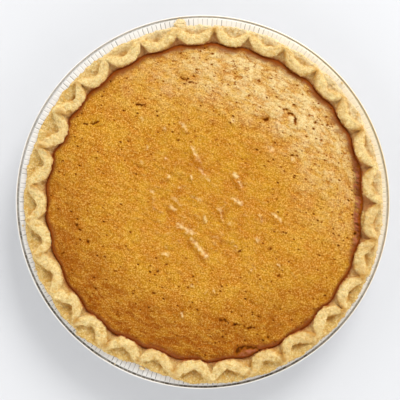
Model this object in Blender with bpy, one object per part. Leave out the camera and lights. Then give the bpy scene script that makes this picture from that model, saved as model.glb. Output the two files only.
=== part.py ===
"""A whole sweet potato pie in its own foil pan: foil_pan, crust and filling, in metres, +Z up.

The origin is the middle of the pan's flat underside. Each piece is one closed body, lofted from rings
about the Z axis. The crust lines the pan, folds over its flange and stands up in a fluted rope, and the
filling fills it and domes up to a low crown.
"""

import math
import random
from collections import namedtuple

import bmesh
import bpy

MM = 0.001
GAP = 0.3 * MM  # clearance between neighbouring pieces

# The foil pan.
PAN_RADIUS = 122.0 * MM
BEAD_RADIUS = 1.15 * MM
FOIL = 0.6 * MM
FLOOR_RADIUS = 87.5 * MM
WALL_FOOT = (90.0 * MM, 1.9 * MM)
WALL_TOP = (111.0 * MM, 28.9 * MM)
FLANGE_START = 113.2 * MM
FLANGE_END = 119.2 * MM
FLANGE_HEIGHT = 30.0 * MM
RIBS = 240
RIB_DEPTH = 0.3 * MM
PAN_SIDES = 120
BEAD_ANGLES = (-120, -60, 0, 60, 120)

# The crust: a shell in the pan, a lip on the flange and a fluted rope above it. Each outline is a circle
# whose centre has drifted a little off the pan's middle, because the rim was folded and pinched by hand.
SHELL = 4.0 * MM
SHELL_LEDGE = 26.0 * MM  # height where the shell leaves the pan's slope and rises to the filling's edge
LIP_RADIUS = 116.9 * MM
LIP_DRIFT = (0.5 * MM, -1.6 * MM)
LIP_WAVE = 0.5 * MM
NOSE_RADIUS = 103.4 * MM  # the rope's inner side where a flute comes furthest in
NOSE_DRIFT = (1.5 * MM, -0.6 * MM)
NOTCH_RADIUS = 110.5 * MM  # the rope's inner side in the notch between two flutes
NOTCH_DRIFT = (1.8 * MM, -1.0 * MM)
THUMB_RADIUS = 109.4 * MM  # the rope's outer side, in the thumb mark behind a flute's nose
THUMB_DRIFT = (1.7 * MM, -0.8 * MM)
THUMB_MARGIN = 1.6 * MM  # from the lip's edge to the rope's outer side, where two thumb marks meet
FLUTES = 29
FLUTE_PHASE = math.radians(6)
NOSE_POWER = 3.2  # a flute is broad and blunt on its inner side
THUMB_POINT = 0.07  # a thumb mark is a V with a small round point, as a share of a flute
THUMB_HALF = 0.42  # half a thumb mark's width at the lip, as a share of a flute
REACH_SPREAD = 0.7 * MM
NOTCH_DEPTH_SPREAD = 1.0 * MM
SKEW_SPREAD = 0.10
NOTCH_SPREAD = 0.05
LIFT_SPREAD = 0.5 * MM
SEED = 29
DROOPING_FLUTE = 12  # one flute that slumped further in than the rest
DROOP = 2.6 * MM

# Where the rim was pushed in, and where a tab of pastry laps out over the flange.
DENT_ANGLE = math.radians(250)
DENT_WIDTH = math.radians(11)
DENT_LIP = 4.2 * MM
DENT_ROPE = 1.9 * MM
TAB_ANGLE = math.radians(97.5)
TAB_WIDTH = math.radians(1.6)
TAB_REACH = 2.6 * MM

# The filling.
CROWN_HEIGHT = 41.4 * MM
CROWN_FLAT = 50.0 * MM
DOME_POWER = 1.68
DOME_DROP = 7.4 * MM  # from the crown to DOME_RADIUS
DOME_RADIUS = 100.5 * MM
EDGE_RADIUS = 102.4 * MM
EDGE_WAVE = 1.4 * MM
EDGE_HEIGHT = 33.0 * MM
SHRINK_ANGLE = math.radians(-3)  # where the filling has drawn back from the crust
SHRINK_WIDTH = math.radians(9)
SHRINK_DEPTH = 1.3 * MM
SWELL = 0.35 * MM

Flute = namedtuple("Flute", "reach skew lift notch_turn notch_depth")
Place = namedtuple("Place", "angle t wave reach notch_depth lift")


def draw_flutes():
    """Each flute's own reach, skew and height, and the place and depth of the notch before it."""
    draws = random.Random(SEED)
    flutes = []
    for number in range(FLUTES):
        reach = draws.uniform(-REACH_SPREAD, REACH_SPREAD)
        flute = Flute(
            reach=DROOP if number == DROOPING_FLUTE else reach,
            skew=draws.uniform(-SKEW_SPREAD, SKEW_SPREAD),
            lift=draws.uniform(-LIFT_SPREAD, LIFT_SPREAD),
            notch_turn=draws.uniform(-NOTCH_SPREAD, NOTCH_SPREAD),
            notch_depth=draws.uniform(-NOTCH_DEPTH_SPREAD, NOTCH_DEPTH_SPREAD),
        )
        flutes.append(flute)
    return flutes


def mix(first, second, share):
    return first + (second - first) * share


def bump(angle, middle, width):
    """1 at the middle angle, falling smoothly to 0 a few widths away, either way round."""
    apart = (angle - middle + math.pi) % math.tau - math.pi
    return math.exp(-((apart / width) ** 2))


def drifted(radius, drift, angle):
    """The radius of a circle whose centre lies at drift, seen from the Z axis."""
    return radius + drift[0] * math.cos(angle) + drift[1] * math.sin(angle)


def place_on_rim(flutes, turn):
    """The rim at turn, 0 to 1. Its t is 0 at a flute's nose, and -0.5 and 0.5 at the notches beside it."""
    along = turn * FLUTES
    number = math.floor(along + 0.5)
    t = along - number
    flute = flutes[number % FLUTES]
    after = flutes[(number + 1) % FLUTES]
    shift = mix(flute.notch_turn, after.notch_turn, t + 0.5)
    skewed = t + flute.skew * (1 - 4 * t * t)
    return Place(
        angle=FLUTE_PHASE + (along + shift) * math.tau / FLUTES,
        t=skewed,
        wave=0.5 + 0.5 * math.cos(math.tau * t),
        reach=flute.reach,
        notch_depth=mix(flute.notch_depth, after.notch_depth, t + 0.5),
        lift=flute.lift * (1 - abs(2 * t)),
    )


def plain_place(turn):
    return Place(FLUTE_PHASE + turn * math.tau, t=0, wave=0, reach=0, notch_depth=0, lift=0)


def lip_fold(place):
    """The lip's edge without its wave or tab, for the rope to follow."""
    return drifted(LIP_RADIUS, LIP_DRIFT, place.angle) - DENT_LIP * bump(place.angle, DENT_ANGLE, DENT_WIDTH)


def lip_edge(place):
    wave = LIP_WAVE * (place.wave - 0.5)
    return lip_fold(place) + wave + TAB_REACH * bump(place.angle, TAB_ANGLE, TAB_WIDTH)


def rope_inside(place):
    """The rope's inner side: blunt noses with a sharp crease between them."""
    dent = DENT_ROPE * bump(place.angle, DENT_ANGLE, DENT_WIDTH)
    nose = drifted(NOSE_RADIUS, NOSE_DRIFT, place.angle) - place.reach
    notch = drifted(NOTCH_RADIUS, NOTCH_DRIFT, place.angle) + place.notch_depth
    return mix(nose, notch, abs(2 * place.t) ** NOSE_POWER) - dent


def rope_outside(place):
    """The rope's outer side, which a thumb pressed into a V behind each nose."""
    dent = DENT_ROPE * bump(place.angle, DENT_ANGLE, DENT_WIDTH)
    nose = drifted(THUMB_RADIUS, THUMB_DRIFT, place.angle) - dent - place.reach
    arms = (math.hypot(place.t, THUMB_POINT) - THUMB_POINT) / (math.hypot(THUMB_HALF, THUMB_POINT) - THUMB_POINT)
    return mix(nose, lip_fold(place) - THUMB_MARGIN, min(1, arms))


def filling_edge(place):
    edge = drifted(EDGE_RADIUS, NOSE_DRIFT, place.angle) + EDGE_WAVE * (1 - place.wave)
    dented = edge - DENT_ROPE * bump(place.angle, DENT_ANGLE, DENT_WIDTH)
    drooped = max(0, place.reach - REACH_SPREAD) * (1 - abs(2 * place.t) ** NOSE_POWER)
    return dented - drooped - SHRINK_DEPTH * bump(place.angle, SHRINK_ANGLE, SHRINK_WIDTH)


def wall_radius(height):
    """The pan's inner wall at a height."""
    share = (height - WALL_FOOT[1]) / (WALL_TOP[1] - WALL_FOOT[1])
    return WALL_FOOT[0] + (WALL_TOP[0] - WALL_FOOT[0]) * share


def across_wall(thickness):
    """How far a layer of this thickness reaches along the radius, on the sloping wall."""
    run = WALL_TOP[0] - WALL_FOOT[0]
    rise = WALL_TOP[1] - WALL_FOOT[1]
    return thickness * math.hypot(run, rise) / rise


def ring(count, find_place, profile):
    """count points round the axis, each at profile(place), a radius and a height."""
    points = []
    for index in range(count):
        place = find_place(index / count)
        radius, height = profile(place)
        points.append((radius * math.cos(place.angle), radius * math.sin(place.angle), height))
    return points


def bridge(bm, first, second):
    """Joins two closed rings of vertices, where one count divides the other."""
    steps = max(len(first), len(second)) // min(len(first), len(second))
    few, many = (second, first) if len(first) > len(second) else (first, second)
    for index, corner in enumerate(few):
        following = few[(index + 1) % len(few)]
        run = [many[(index * steps + step) % len(many)] for step in range(steps + 1)]
        middle = (steps + 1) // 2
        faces = [(corner, run[step + 1], run[step]) for step in range(middle)]
        faces.append((corner, following, run[middle]))
        faces += [(following, run[step + 1], run[step]) for step in range(middle, steps)]
        for face in faces:
            bm.faces.new(face if few is first else reversed(face))


def make_material(name, colour, roughness, metallic=0.0):
    material = bpy.data.materials.new(name)
    material.use_nodes = True
    shader = material.node_tree.nodes["Principled BSDF"]
    shader.inputs["Base Color"].default_value = (*colour, 1)
    shader.inputs["Roughness"].default_value = roughness
    shader.inputs["Metallic"].default_value = metallic
    return material


def loft(name, rings, material):
    """A closed body from rings that start under it, go round its outside and end on top of its middle."""
    bm = bmesh.new()
    loops = [[bm.verts.new(point) for point in points] for points in rings]
    for first, second in zip(loops, loops[1:]):
        bridge(bm, first, second)
    for loop, order in ((loops[0], -1), (loops[-1], 1)):
        middle = bm.verts.new((0, 0, sum(vertex.co.z for vertex in loop) / len(loop)))
        for index, vertex in enumerate(loop):
            pair = (vertex, loop[(index + 1) % len(loop)])
            bm.faces.new((*pair[::order], middle))
    mesh = bpy.data.meshes.new(name)
    bm.to_mesh(mesh)
    bm.free()
    mesh.shade_smooth()
    mesh.set_sharp_from_angle(angle=math.radians(30))
    mesh.materials.append(material)
    body = bpy.data.objects.new(name, mesh)
    bpy.context.scene.collection.objects.link(body)
    return body


def make_pan():
    def rib(place):
        return RIB_DEPTH * math.cos(RIBS * (place.angle - FLUTE_PHASE))

    def smooth(radius, height):
        return ring(PAN_SIDES, plain_place, lambda place: (radius, height))

    def ribbed(radius, height):
        return ring(RIBS * 2, plain_place, lambda place: (radius, height + rib(place)))

    bead_middle = PAN_RADIUS - BEAD_RADIUS
    bead = [
        smooth(
            bead_middle + BEAD_RADIUS * math.cos(math.radians(angle)),
            FLANGE_HEIGHT + BEAD_RADIUS * math.sin(math.radians(angle)),
        )
        for angle in BEAD_ANGLES
    ]
    bead[BEAD_ANGLES.index(0)] = smooth(PAN_RADIUS, FLANGE_HEIGHT)
    outside = [
        smooth(FLOOR_RADIUS, 0),
        smooth(WALL_FOOT[0] + across_wall(FOIL), WALL_FOOT[1]),
        ribbed(WALL_TOP[0] + across_wall(FOIL), WALL_TOP[1] - FOIL),
        ribbed(FLANGE_END, FLANGE_HEIGHT - FOIL),
    ]
    inside = [
        ribbed(FLANGE_END, FLANGE_HEIGHT),
        ribbed(FLANGE_START, FLANGE_HEIGHT),
        smooth(*WALL_TOP),
        smooth(*WALL_FOOT),
        smooth(FLOOR_RADIUS, FOIL),
    ]
    foil = make_material("foil", (0.86, 0.86, 0.87), 0.28, metallic=1.0)
    return loft("foil_pan", outside + bead + inside, foil)


def make_crust(flutes):
    on_flange = FLANGE_HEIGHT + RIB_DEPTH + GAP
    under = FOIL + GAP  # height of the shell's underside

    def rim(count, profile):
        return ring(count * FLUTES, lambda turn: place_on_rim(flutes, turn), profile)

    def plain(count, radius, height):
        return ring(count * FLUTES, plain_place, lambda place: (radius, height))

    def rope(share, out, notch_height, nose_height):
        """A line along the rope: its share of the way from the inner to the outer side, and out from there."""

        def profile(place):
            radius = mix(rope_inside(place), rope_outside(place), share) + out * MM
            return radius, mix(nose_height, notch_height, abs(2 * place.t)) * MM + place.lift

        return rim(8, profile)

    def lip_top(place):
        return lip_edge(place) - 0.9 * MM, mix(32.9, 33.9, abs(2 * place.t)) * MM

    shell_wall = wall_radius(SHELL_LEDGE) - across_wall(GAP + SHELL)
    rings = [
        plain(1, FLOOR_RADIUS * 0.5, under),
        plain(2, FLOOR_RADIUS - GAP, under),
        plain(2, WALL_FOOT[0] - across_wall(GAP), WALL_FOOT[1]),
        plain(2, WALL_TOP[0] - across_wall(GAP), WALL_TOP[1]),
        plain(2, FLANGE_START, on_flange),
        rim(4, lambda place: (lip_edge(place) - 0.8 * MM, on_flange)),
        rim(8, lambda place: (lip_edge(place), on_flange + 1.2 * MM)),
        rim(8, lip_top),
        rope(share=1, out=0.2, notch_height=35.0, nose_height=32.4),
        rope(share=1, out=-0.8, notch_height=35.9, nose_height=35.4),
        rope(share=0.65, out=0, notch_height=36.6, nose_height=36.9),
        rope(share=0.28, out=0, notch_height=36.6, nose_height=37.0),
        rope(share=0, out=0.5, notch_height=35.9, nose_height=36.2),
        rope(share=0, out=0.2, notch_height=33.3, nose_height=34.2),
        rim(4, lambda place: (filling_edge(place) + GAP, EDGE_HEIGHT)),
        plain(2, shell_wall, SHELL_LEDGE),
        plain(2, WALL_FOOT[0] - across_wall(SHELL) + 2 * MM, under + SHELL + 2 * MM),
        plain(2, WALL_FOOT[0] - across_wall(SHELL) - 1 * MM, under + SHELL),
        plain(1, FLOOR_RADIUS * 0.5, under + SHELL),
    ]
    return loft("crust", rings, make_material("baked_pastry", (0.68, 0.45, 0.19), 0.62))


def make_filling(flutes):
    base = FOIL + GAP + SHELL + GAP

    def plain(count, radius, height):
        return ring(count * FLUTES, plain_place, lambda place: (radius, height))

    def edge(inwards, height):
        return ring(
            4 * FLUTES, lambda turn: place_on_rim(flutes, turn), lambda place: (filling_edge(place) - inwards, height)
        )

    def dome_height(radius, angle):
        slope = max(0, radius - CROWN_FLAT) / (DOME_RADIUS - CROWN_FLAT)
        x, y = radius * math.cos(angle), radius * math.sin(angle)
        swell = math.sin(x / (11 * MM) + 1.3) * math.sin(y / (13 * MM)) + math.sin((x - y) / (17 * MM))
        return CROWN_HEIGHT - DOME_DROP * slope**DOME_POWER + SWELL * swell

    def dome(count, radius):
        return ring(count * FLUTES, plain_place, lambda place: (radius, dome_height(radius, place.angle)))

    inner_wall = wall_radius(SHELL_LEDGE) - across_wall(GAP + SHELL) - across_wall(GAP)
    foot = WALL_FOOT[0] - across_wall(SHELL + GAP)
    rings = [
        plain(1, FLOOR_RADIUS * 0.5, base),
        plain(2, foot - 1 * MM, base),
        plain(2, foot + 2 * MM, base + 2 * MM),
        plain(2, inner_wall, SHELL_LEDGE),
        edge(0, EDGE_HEIGHT),
        edge(1.2 * MM, EDGE_HEIGHT + 0.8 * MM),
        dome(4, 97 * MM),
        *(dome(2, radius * MM) for radius in (90, 83, 76, 69, 62, 54)),
        *(dome(1, radius * MM) for radius in (45, 35, 24, 12)),
    ]
    return loft("filling", rings, make_material("baked_filling", (0.60, 0.28, 0.04), 0.45))


for old in list(bpy.data.objects):
    bpy.data.objects.remove(old)
rim_flutes = draw_flutes()
make_pan()
make_crust(rim_flutes)
make_filling(rim_flutes)
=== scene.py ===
import math
import random
from math import cos, radians, sin, tau

import bmesh
import bpy
import numpy as np
from mathutils import Euler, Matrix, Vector, noise


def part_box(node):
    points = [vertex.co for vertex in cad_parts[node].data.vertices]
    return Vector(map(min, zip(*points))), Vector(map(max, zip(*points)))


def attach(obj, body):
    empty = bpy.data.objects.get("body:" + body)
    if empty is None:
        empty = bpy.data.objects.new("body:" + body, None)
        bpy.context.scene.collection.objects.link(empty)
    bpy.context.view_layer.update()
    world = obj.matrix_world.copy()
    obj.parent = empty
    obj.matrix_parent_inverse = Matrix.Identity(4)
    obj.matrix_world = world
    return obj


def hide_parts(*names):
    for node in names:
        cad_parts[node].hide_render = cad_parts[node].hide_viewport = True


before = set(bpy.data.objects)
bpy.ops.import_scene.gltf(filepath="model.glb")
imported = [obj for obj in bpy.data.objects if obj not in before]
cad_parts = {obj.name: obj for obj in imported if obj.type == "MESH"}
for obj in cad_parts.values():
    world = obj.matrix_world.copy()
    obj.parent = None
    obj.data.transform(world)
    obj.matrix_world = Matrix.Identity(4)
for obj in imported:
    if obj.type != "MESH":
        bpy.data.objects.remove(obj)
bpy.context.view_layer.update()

MM = 0.001
BODY = "root"

# The pan, as in the CAD.
PAN_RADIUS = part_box("foil_pan")[1][0]
BEAD_RADIUS = 1.15 * MM
FOIL = 0.6 * MM
FLOOR_RADIUS = 87.5 * MM
WALL_FOOT = (90.0 * MM, 1.9 * MM)
WALL_TOP = (111.0 * MM, 28.9 * MM)
FLANGE_START = 113.2 * MM
FLANGE_END = 119.2 * MM
FLANGE_HEIGHT = 30.0 * MM
RIBS = 240
RIB_DEPTH = 0.3 * MM

# The shown pan: where its rings and columns of points are, and how its ribs, creases and painted shade vary.
FLOOR_SHARES = (0.25, 0.6, 1)
BEAD_SWEEP = range(-130, 61, 19)
RIB_COLUMNS = (-0.25, -0.14, -0.07, 0, 0.07, 0.14, 0.25, 0.5)
RIB_WAVER = 0.15
WAVER_SIZE = 14 * MM
CREASE_WIDTH = 0.065
CREASE_DEPTH = 1.4
CREASE_SPACING = 3 * MM
WALL_RIBBED = 1.5
BEAD_RIBBED = 0.05
BEAD_DULL = 0.3
# The side, away from the lamp, on which the groove's painted shade is darkest.
SHADED_SIDE_ANGLE = radians(250)
BUTTER_ANGLE = radians(25)
BUTTER_WIDTH = 0.9

# The groove inside the rolled rim, in millimetres from the roll's middle: outwards, upwards, and its painted
# shade.
GROOVE = ((0.35, 0.75, 0.1), (0.15, 0.2, 1.0), (-0.25, -0.35, 1.0), (-0.75, 0.0, 0.9), (-1.15, 0.1, 0.0))

# The crust, as in the CAD.
GAP = 0.3 * MM
SHELL = 4.0 * MM
SHELL_LEDGE = 26.0 * MM
LIP_RADIUS = 116.9 * MM
LIP_DRIFT = (0.5 * MM, -1.6 * MM)
LIP_WAVE = 0.5 * MM
NOSE_RADIUS = 103.4 * MM
NOSE_DRIFT = (1.5 * MM, -0.6 * MM)
NOTCH_RADIUS = 110.5 * MM
NOTCH_DRIFT = (1.8 * MM, -1.0 * MM)
THUMB_RADIUS = 109.4 * MM
THUMB_DRIFT = (1.7 * MM, -0.8 * MM)
THUMB_MARGIN = 1.6 * MM
FLUTES = 29
FLUTE_PHASE = radians(6)
NOSE_POWER = 3.2
THUMB_POINT = 0.07
THUMB_HALF = 0.42
REACH_SPREAD = 0.7 * MM
NOTCH_DEPTH_SPREAD = 1.0 * MM
SKEW_SPREAD = 0.10
NOTCH_SPREAD = 0.05
LIFT_SPREAD = 0.5 * MM
SEED = 29
DROOPING_FLUTE = 12
DROOP = 2.6 * MM
DENT_ANGLE = radians(250)
DENT_WIDTH = radians(11)
DENT_LIP = 4.2 * MM
DENT_ROPE = 1.9 * MM
TAB_ANGLE = radians(97.5)
TAB_WIDTH = radians(1.6)
TAB_REACH = 2.6 * MM

# The filling, as in the CAD.
CROWN_HEIGHT = 41.4 * MM
CROWN_FLAT = 50.0 * MM
DOME_POWER = 1.68
DOME_DROP = 7.4 * MM
DOME_RADIUS = 100.5 * MM
EDGE_RADIUS = 102.4 * MM
EDGE_WAVE = 1.4 * MM
EDGE_HEIGHT = 33.0 * MM
SHRINK_ANGLE = radians(-3)
SHRINK_WIDTH = radians(9)
SHRINK_DEPTH = 1.3 * MM
SWELL = 0.35 * MM
SWELL_LENGTHS = (11 * MM, 13 * MM, 17 * MM)
SWELL_PHASE = 1.3

# The crust's roughness: the size and rise of each kind of lump, and how far it all puffs out.
LUMP_SIZE, LUMP_RISE = 6 * MM, 0.50 * MM
VALLEY_SIZE, VALLEY_FALL = 4.5 * MM, 0.60 * MM
FLAKE_SIZE, FLAKE_RISE = 3.4 * MM, 0.32 * MM
CRAG_SIZE, CRAG_RISE = 1.4 * MM, 0.50 * MM
FOLD_SIZE, FOLD_RISE = 2.4 * MM, 0.45 * MM
FLAKE_STEPS = 3
FOLD_LENGTHENING = 0.35
CRUST_PUFF = 0.1 * MM
TONE_SIZE = 6 * MM

# The rope's stations, inwards: share of the way out across it, then, in millimetres and each at a nose and
# at a notch, how far out from there and how high.
ROPE = (
    (1, (0.1, 0.1), (32.0, 34.9)),
    (1, (-0.7, -0.7), (35.3, 35.9)),
    (0.65, (0, 0), (36.9, 36.6)),
    (0.28, (0, 0), (37.0, 36.6)),
    (0, (-0.2, 0.5), (36.0, 35.9)),
    (0, (-0.8, -1.0), (34.3, 34.3)),
)

# Stretches of the crust's section by station number: where a look begins, is full, fades and ends.
# The wall's and the lip's go on to their end of the section.
FREE_STRETCH = (0.0, 1.0, 8.4, 9.0)
PINCH_STRETCH = (2.5, 5.0, 7.0, 8.2)
THUMB_STRETCH = (2.3, 3.0, 3.5, 4.3)
INNER_STRETCH = (6.4, 7.4, 7.8, 8.4)
WALL_STRETCH = (7.3, 8.0)
LIP_STRETCH = (3.8, 2.2)

# Heights between which the crust's tops get a painted highlight, and the sides where its recesses get stain
# and painted shade: turn, width and amount.
HIGHLIGHT_HEIGHTS = (33.2 * MM, 36.4 * MM)
STAIN_SIDES = ((0.0, 0.45, 0.65), (radians(98), 0.5, 0.6))

# Distances from the filling at which the crust's stain and dark seam begin and are full, and how ragged.
STAIN_REACH = (3.4 * MM, 0.8 * MM)
SEAM_REACH = (1.1 * MM, 0.1 * MM)
SEAM_RAGGED = 0.8 * MM

# The filling's edge: how it rolls over, the seam beside it, and how soon its rings turn round.
EDGE_ROLL = 0.4 * MM
EDGE_ROLL_WIDTH = 1.2 * MM
SEAM = 0.05 * MM
FOLLOW_POWER = 10

# The filling's roughness: the size and rise of each kind. Its curds rise less towards the rim.
HUMP_SIZE, HUMP_RISE = 13 * MM, 0.5 * MM
CURD_SIZE, CURD_RISE = 3.6 * MM, (0.75 * MM, 0.60 * MM)
GRAIN_SIZE, GRAIN_RISE = 1.5 * MM, 0.34 * MM
WRINKLE_SIZE, WRINKLE_RISE = 1.5 * MM, 0.42 * MM
WRINKLE_TURNS = 9
WANDER_SIZE = 7 * MM
BREAK_SIZE = 1.8 * MM
WARP_SIZE = 2.4 * MM
WARP_REACH = 1.3 * MM

# Radii and reliefs between which the filling's looks change. Each look begins at the first.
OUTER_RADII = (55 * MM, 95 * MM)
SHEEN_RADII = (45 * MM, 90 * MM)
CRACKED_RADII = (30 * MM, 60 * MM)
WET_RADII = (70 * MM, 20 * MM)
CREST_RELIEF = (-0.30 * MM, 0.35 * MM)
CREVICE_RELIEF = (0.35 * MM, 0.75 * MM)

# Distances in from the filling's edge between which its relief, front gloss, ledge and bare ledge change.
RELIEF_INWARDS = (0, 1.5 * MM)
GLOSS_INWARDS = (3 * MM, 1 * MM)
LEDGE_INWARDS = (5.0 * MM, 4.2 * MM)
BARE_INWARDS = (0.3 * MM, 1.0 * MM)

# The filling's brown rim, wider towards the lamp where the rope's shadow is painted into it: its width away
# from and towards that side, and the most that is charred.
RIM_WIDTHS = (3.45 * MM, 5.98 * MM)
ROPE_SHADOW_ANGLE = radians(75)
CHAR_WIDTH = 2.3 * MM

# Where the brown rim is wider: turn and half width in degrees, extra width in millimetres.
RIM_ZONES = ((0, 15, 3.45), (255, 9, 4.14), (292, 8, 2.99), (312, 5, 1.84), (25, 10, 1.15), (150, 6, 0.92))

# At the right the filling has sunk along its edge to a rough ledge, and near the front it has a blister.
LEDGE_ANGLE = radians(-1)
LEDGE_WIDTH = radians(14)
LEDGE_DROP = 1.0 * MM
FRONT_ANGLE = radians(270)
BLISTER = ((26.5, -99), (34, -97))
BLISTER_WIDTH = 3.0
BLISTER_RISE = 1.0 * MM
BLISTER_HOLE = ((21.8, -97.8), (23.0, -95.4))
BLISTER_LIP = ((21.8, -97.8), (23.2, -94.8), (28, -94.0), (34.5, -94.6))

# Small glossy bumps scattered over a round field. Its radius and middle are in millimetres.
BUMPS = 30
BUMP_FIELD = 68
BUMP_MIDDLE = (-8, -6)

# The streaks' and bumps' rise, and how far off their lit and shaded sides are.
STREAK_RISE = 1.4 * MM
STREAK_SIDE = 0.8 * MM

# Glossy raised streaks and bumps in millimetres: one end, run to the other end, width and share of the rise.
STREAKS = (
    (-8.5, -24.6, 9.5, -11.3, 1.5, 0.9), (-16.4, -15.9, 8.3, -5.4, 2.2, 0.6),
    (-20.1, -5.5, 0.1, 0, 2.4, 1), (-19.4, 1.6, 3.8, -4.2, 1.3, 0.4),
    (-7, 2.6, 3.9, -2.6, 1.3, 0.4), (19, 1, 5, -3, 1.5, 0.7),
    (10.4, -4.6, 1.6, -9.1, 1.2, 0.5), (16.8, -15, 0.1, 0, 1.4, 0.6),
    (-25.2, -35, 0.1, 0, 2, 0.8), (42.8, 32.6, 0.1, 0, 2.2, 0.7),
    (19, 50.9, 0.1, 0, 2, 0.7), (56.9, 26.3, 0.1, 0, 1.8, 0.6),
    (19.1, 17, 5.2, -7.9, 1.2, 0.7), (-7.6, 33.9, 3.2, -6.5, 1.7, 0.7),
    (-2.4, 20.2, 4.6, -7.2, 1.4, 0.4), (-33, 6.5, 1.2, -11.7, 1, 0.3),
    (45.2, -9.1, 3.8, -3.9, 1.3, 0.7), (36, -9.1, 1.4, -4.6, 1, 0.5),
    (-14.8, 50.2, 3.9, -4.6, 1.3, 0.5), (47.8, 50.2, 2.6, -7.2, 1.2, 0.5),
)

# The pits' and cracks' depth, and the cracks' width in millimetres.
PIT_DEPTH = 1.2 * MM
CRACK_WIDTH = 0.52

# The larger pits in millimetres: place and width.
PITS = (
    (41.1, 53.8, 2.4), (71.7, 47.1, 1.4), (73.1, 51.2, 1.2), (80.2, 55, 1.2), (81, 49.6, 1.4),
    (76.9, 40.2, 1.3), (57.9, 30.1, 1.3), (53.1, 19.7, 1.2), (29.9, 69.2, 1.3), (36.1, 78.3, 1.4),
    (-74.7, -25.4, 2.2), (-63.1, -35.7, 1.7), (-32.3, -58.7, 1.7), (-46.5, -19.4, 1.5),
    (-56.5, -44.6, 1.4), (-45, -57.5, 1.3), (-90.6, -32.9, 1.4), (-84.6, -44.6, 1.4),
    (-55.2, -72.9, 1.4), (-23.9, -40, 1.3), (23.7, -31.9, 1.4), (22.2, -92.5, 1.6),
    (42.2, -88, 1.4), (23, -97.1, 2.4), (99.5, -20.2, 2), (35.9, -73.4, 1.5),
    (11.9, -76.2, 2.2), (12.7, -87.9, 1.5), (43.2, -30, 1.8), (49.1, -47.6, 1.5),
    (-29.1, -45.6, 1.4), (-9.6, 44.3, 1.2), (-16.1, 40.4, 1.2), (9.3, 40.4, 1.1),
)

# Cracks in millimetres.
CRACKS = (
    ((103, -1), (103.2, -5), (102.4, -9)),
    ((18, -80.5), (19.1, -79.2), (23, -78.7), (27.6, -81.2), (31.4, -81.8)),
    ((14, -76.4), (15.8, -78.4)),
    ((53.1, 60.4), (54.8, 59.1)),
    ((55.6, 57.1), (58.6, 55.6), (60.4, 50)),
    ((-81.4, -14.2), (-80.6, -16.3), (-78.5, -18.4)),
    ((-33.6, -70), (-29.8, -71.2)),
    ((-13.5, 80), (-4.4, 76)),
    ((-42, 62.6), (-38, 62.6)),
    ((-76.7, 50.9), (-74.5, 50.2)),
    ((-71.5, 51), (-67.6, 51.5)),
)

# Crumbs of dough: turn in degrees, then radius, height, half size and lengthening along the rim.
CRUMBS = (
    (40.5, 119.3, 31.6, 0.9, 1.2), (97.2, 118.1, 31.8, 2.4, 1.15), (98.5, 117, 32, 1.6, 1),
    (96, 117.2, 31.8, 1.3, 1), (187.5, 118.2, 31.3, 0.6, 1.2), (202, 118, 31.2, 0.5, 1),
    (226.5, 118.6, 31.6, 1.1, 1.4), (241.5, 120, 31.4, 0.45, 1), (250, 115.3, 31.8, 1.2, 1.5),
    (279, 118.7, 31.4, 0.8, 1.2), (300, 118.9, 31.2, 0.5, 1), (321, 118.6, 31.3, 0.6, 1),
)

# The crumbs' thickness and height as shares of their size, and how lumpy they are.
CRUMB_THICKNESS = 0.85
CRUMB_HEIGHT = 0.7
CRUMB_LUMPS = 0.30

# How finely the shown meshes are made.
CRUST_STEPS = (3, 4, 7, 7, 6, 5, 4, 5, 7)
CRUST_COLUMNS = FLUTES * 44
FILLING_COLUMNS = FLUTES * 32
FILLING_STEP = 0.7 * MM

# The camera looks straight down, a little off the pan's middle, and frames FIELD at the flange's height.
# The lamp is at this turn, height angle and distance.
CAMERA_PLACE = (-1.8 * MM, 1.3 * MM)
CAMERA_HEIGHT = 0.9
FIELD = 261 * MM
SENSOR_WIDTH = 36
LIGHT_ANGLE = radians(64)
LIGHT_ELEVATION = radians(41)
LIGHT_DISTANCE = 2.8
LIGHT_SIZE = 1.45
LIGHT_POWER = 41
FLOOR_HALF = 1.5

# The even light from all round: its height and strength at its low and high ends.
SKY_COLOUR = (0.97, 0.98, 1.0, 1)
SKY_LOW = (0.4, 1.79)
SKY_HIGH = (0.95, 0.28)

# The side toward the lamp, on which the pie gets painted light, and the side on which its crust browned most.
LAMP_SIDE_ANGLE = radians(55)
TOAST_ANGLE = radians(-15)


# -------- shapes shared with the CAD


def draw_flutes():
    """One row for each flute: reach, skew, lift, and the turn and depth of the notch before it."""
    draws = random.Random(SEED)
    rows = []
    for number in range(FLUTES):
        reach = draws.uniform(-REACH_SPREAD, REACH_SPREAD)
        spreads = (SKEW_SPREAD, LIFT_SPREAD, NOTCH_SPREAD, NOTCH_DEPTH_SPREAD)
        others = [draws.uniform(-spread, spread) for spread in spreads]
        rows.append([DROOP if number == DROOPING_FLUTE else reach, *others])
    return np.array(rows)


def mix(first, second, share):
    return first + (second - first) * share


def ramp(value, low, high):
    """0 at low, 1 at high, smooth between them and held beyond them. Low may be above high."""
    share = np.clip((value - low) / (high - low), 0, 1)
    return share * share * (3 - 2 * share)


def bump(angle, middle, width):
    apart = (angle - middle + math.pi) % tau - math.pi
    return np.exp(-((apart / width) ** 2))


def drifted(radius, drift, angle):
    return radius + drift[0] * np.cos(angle) + drift[1] * np.sin(angle)


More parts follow.
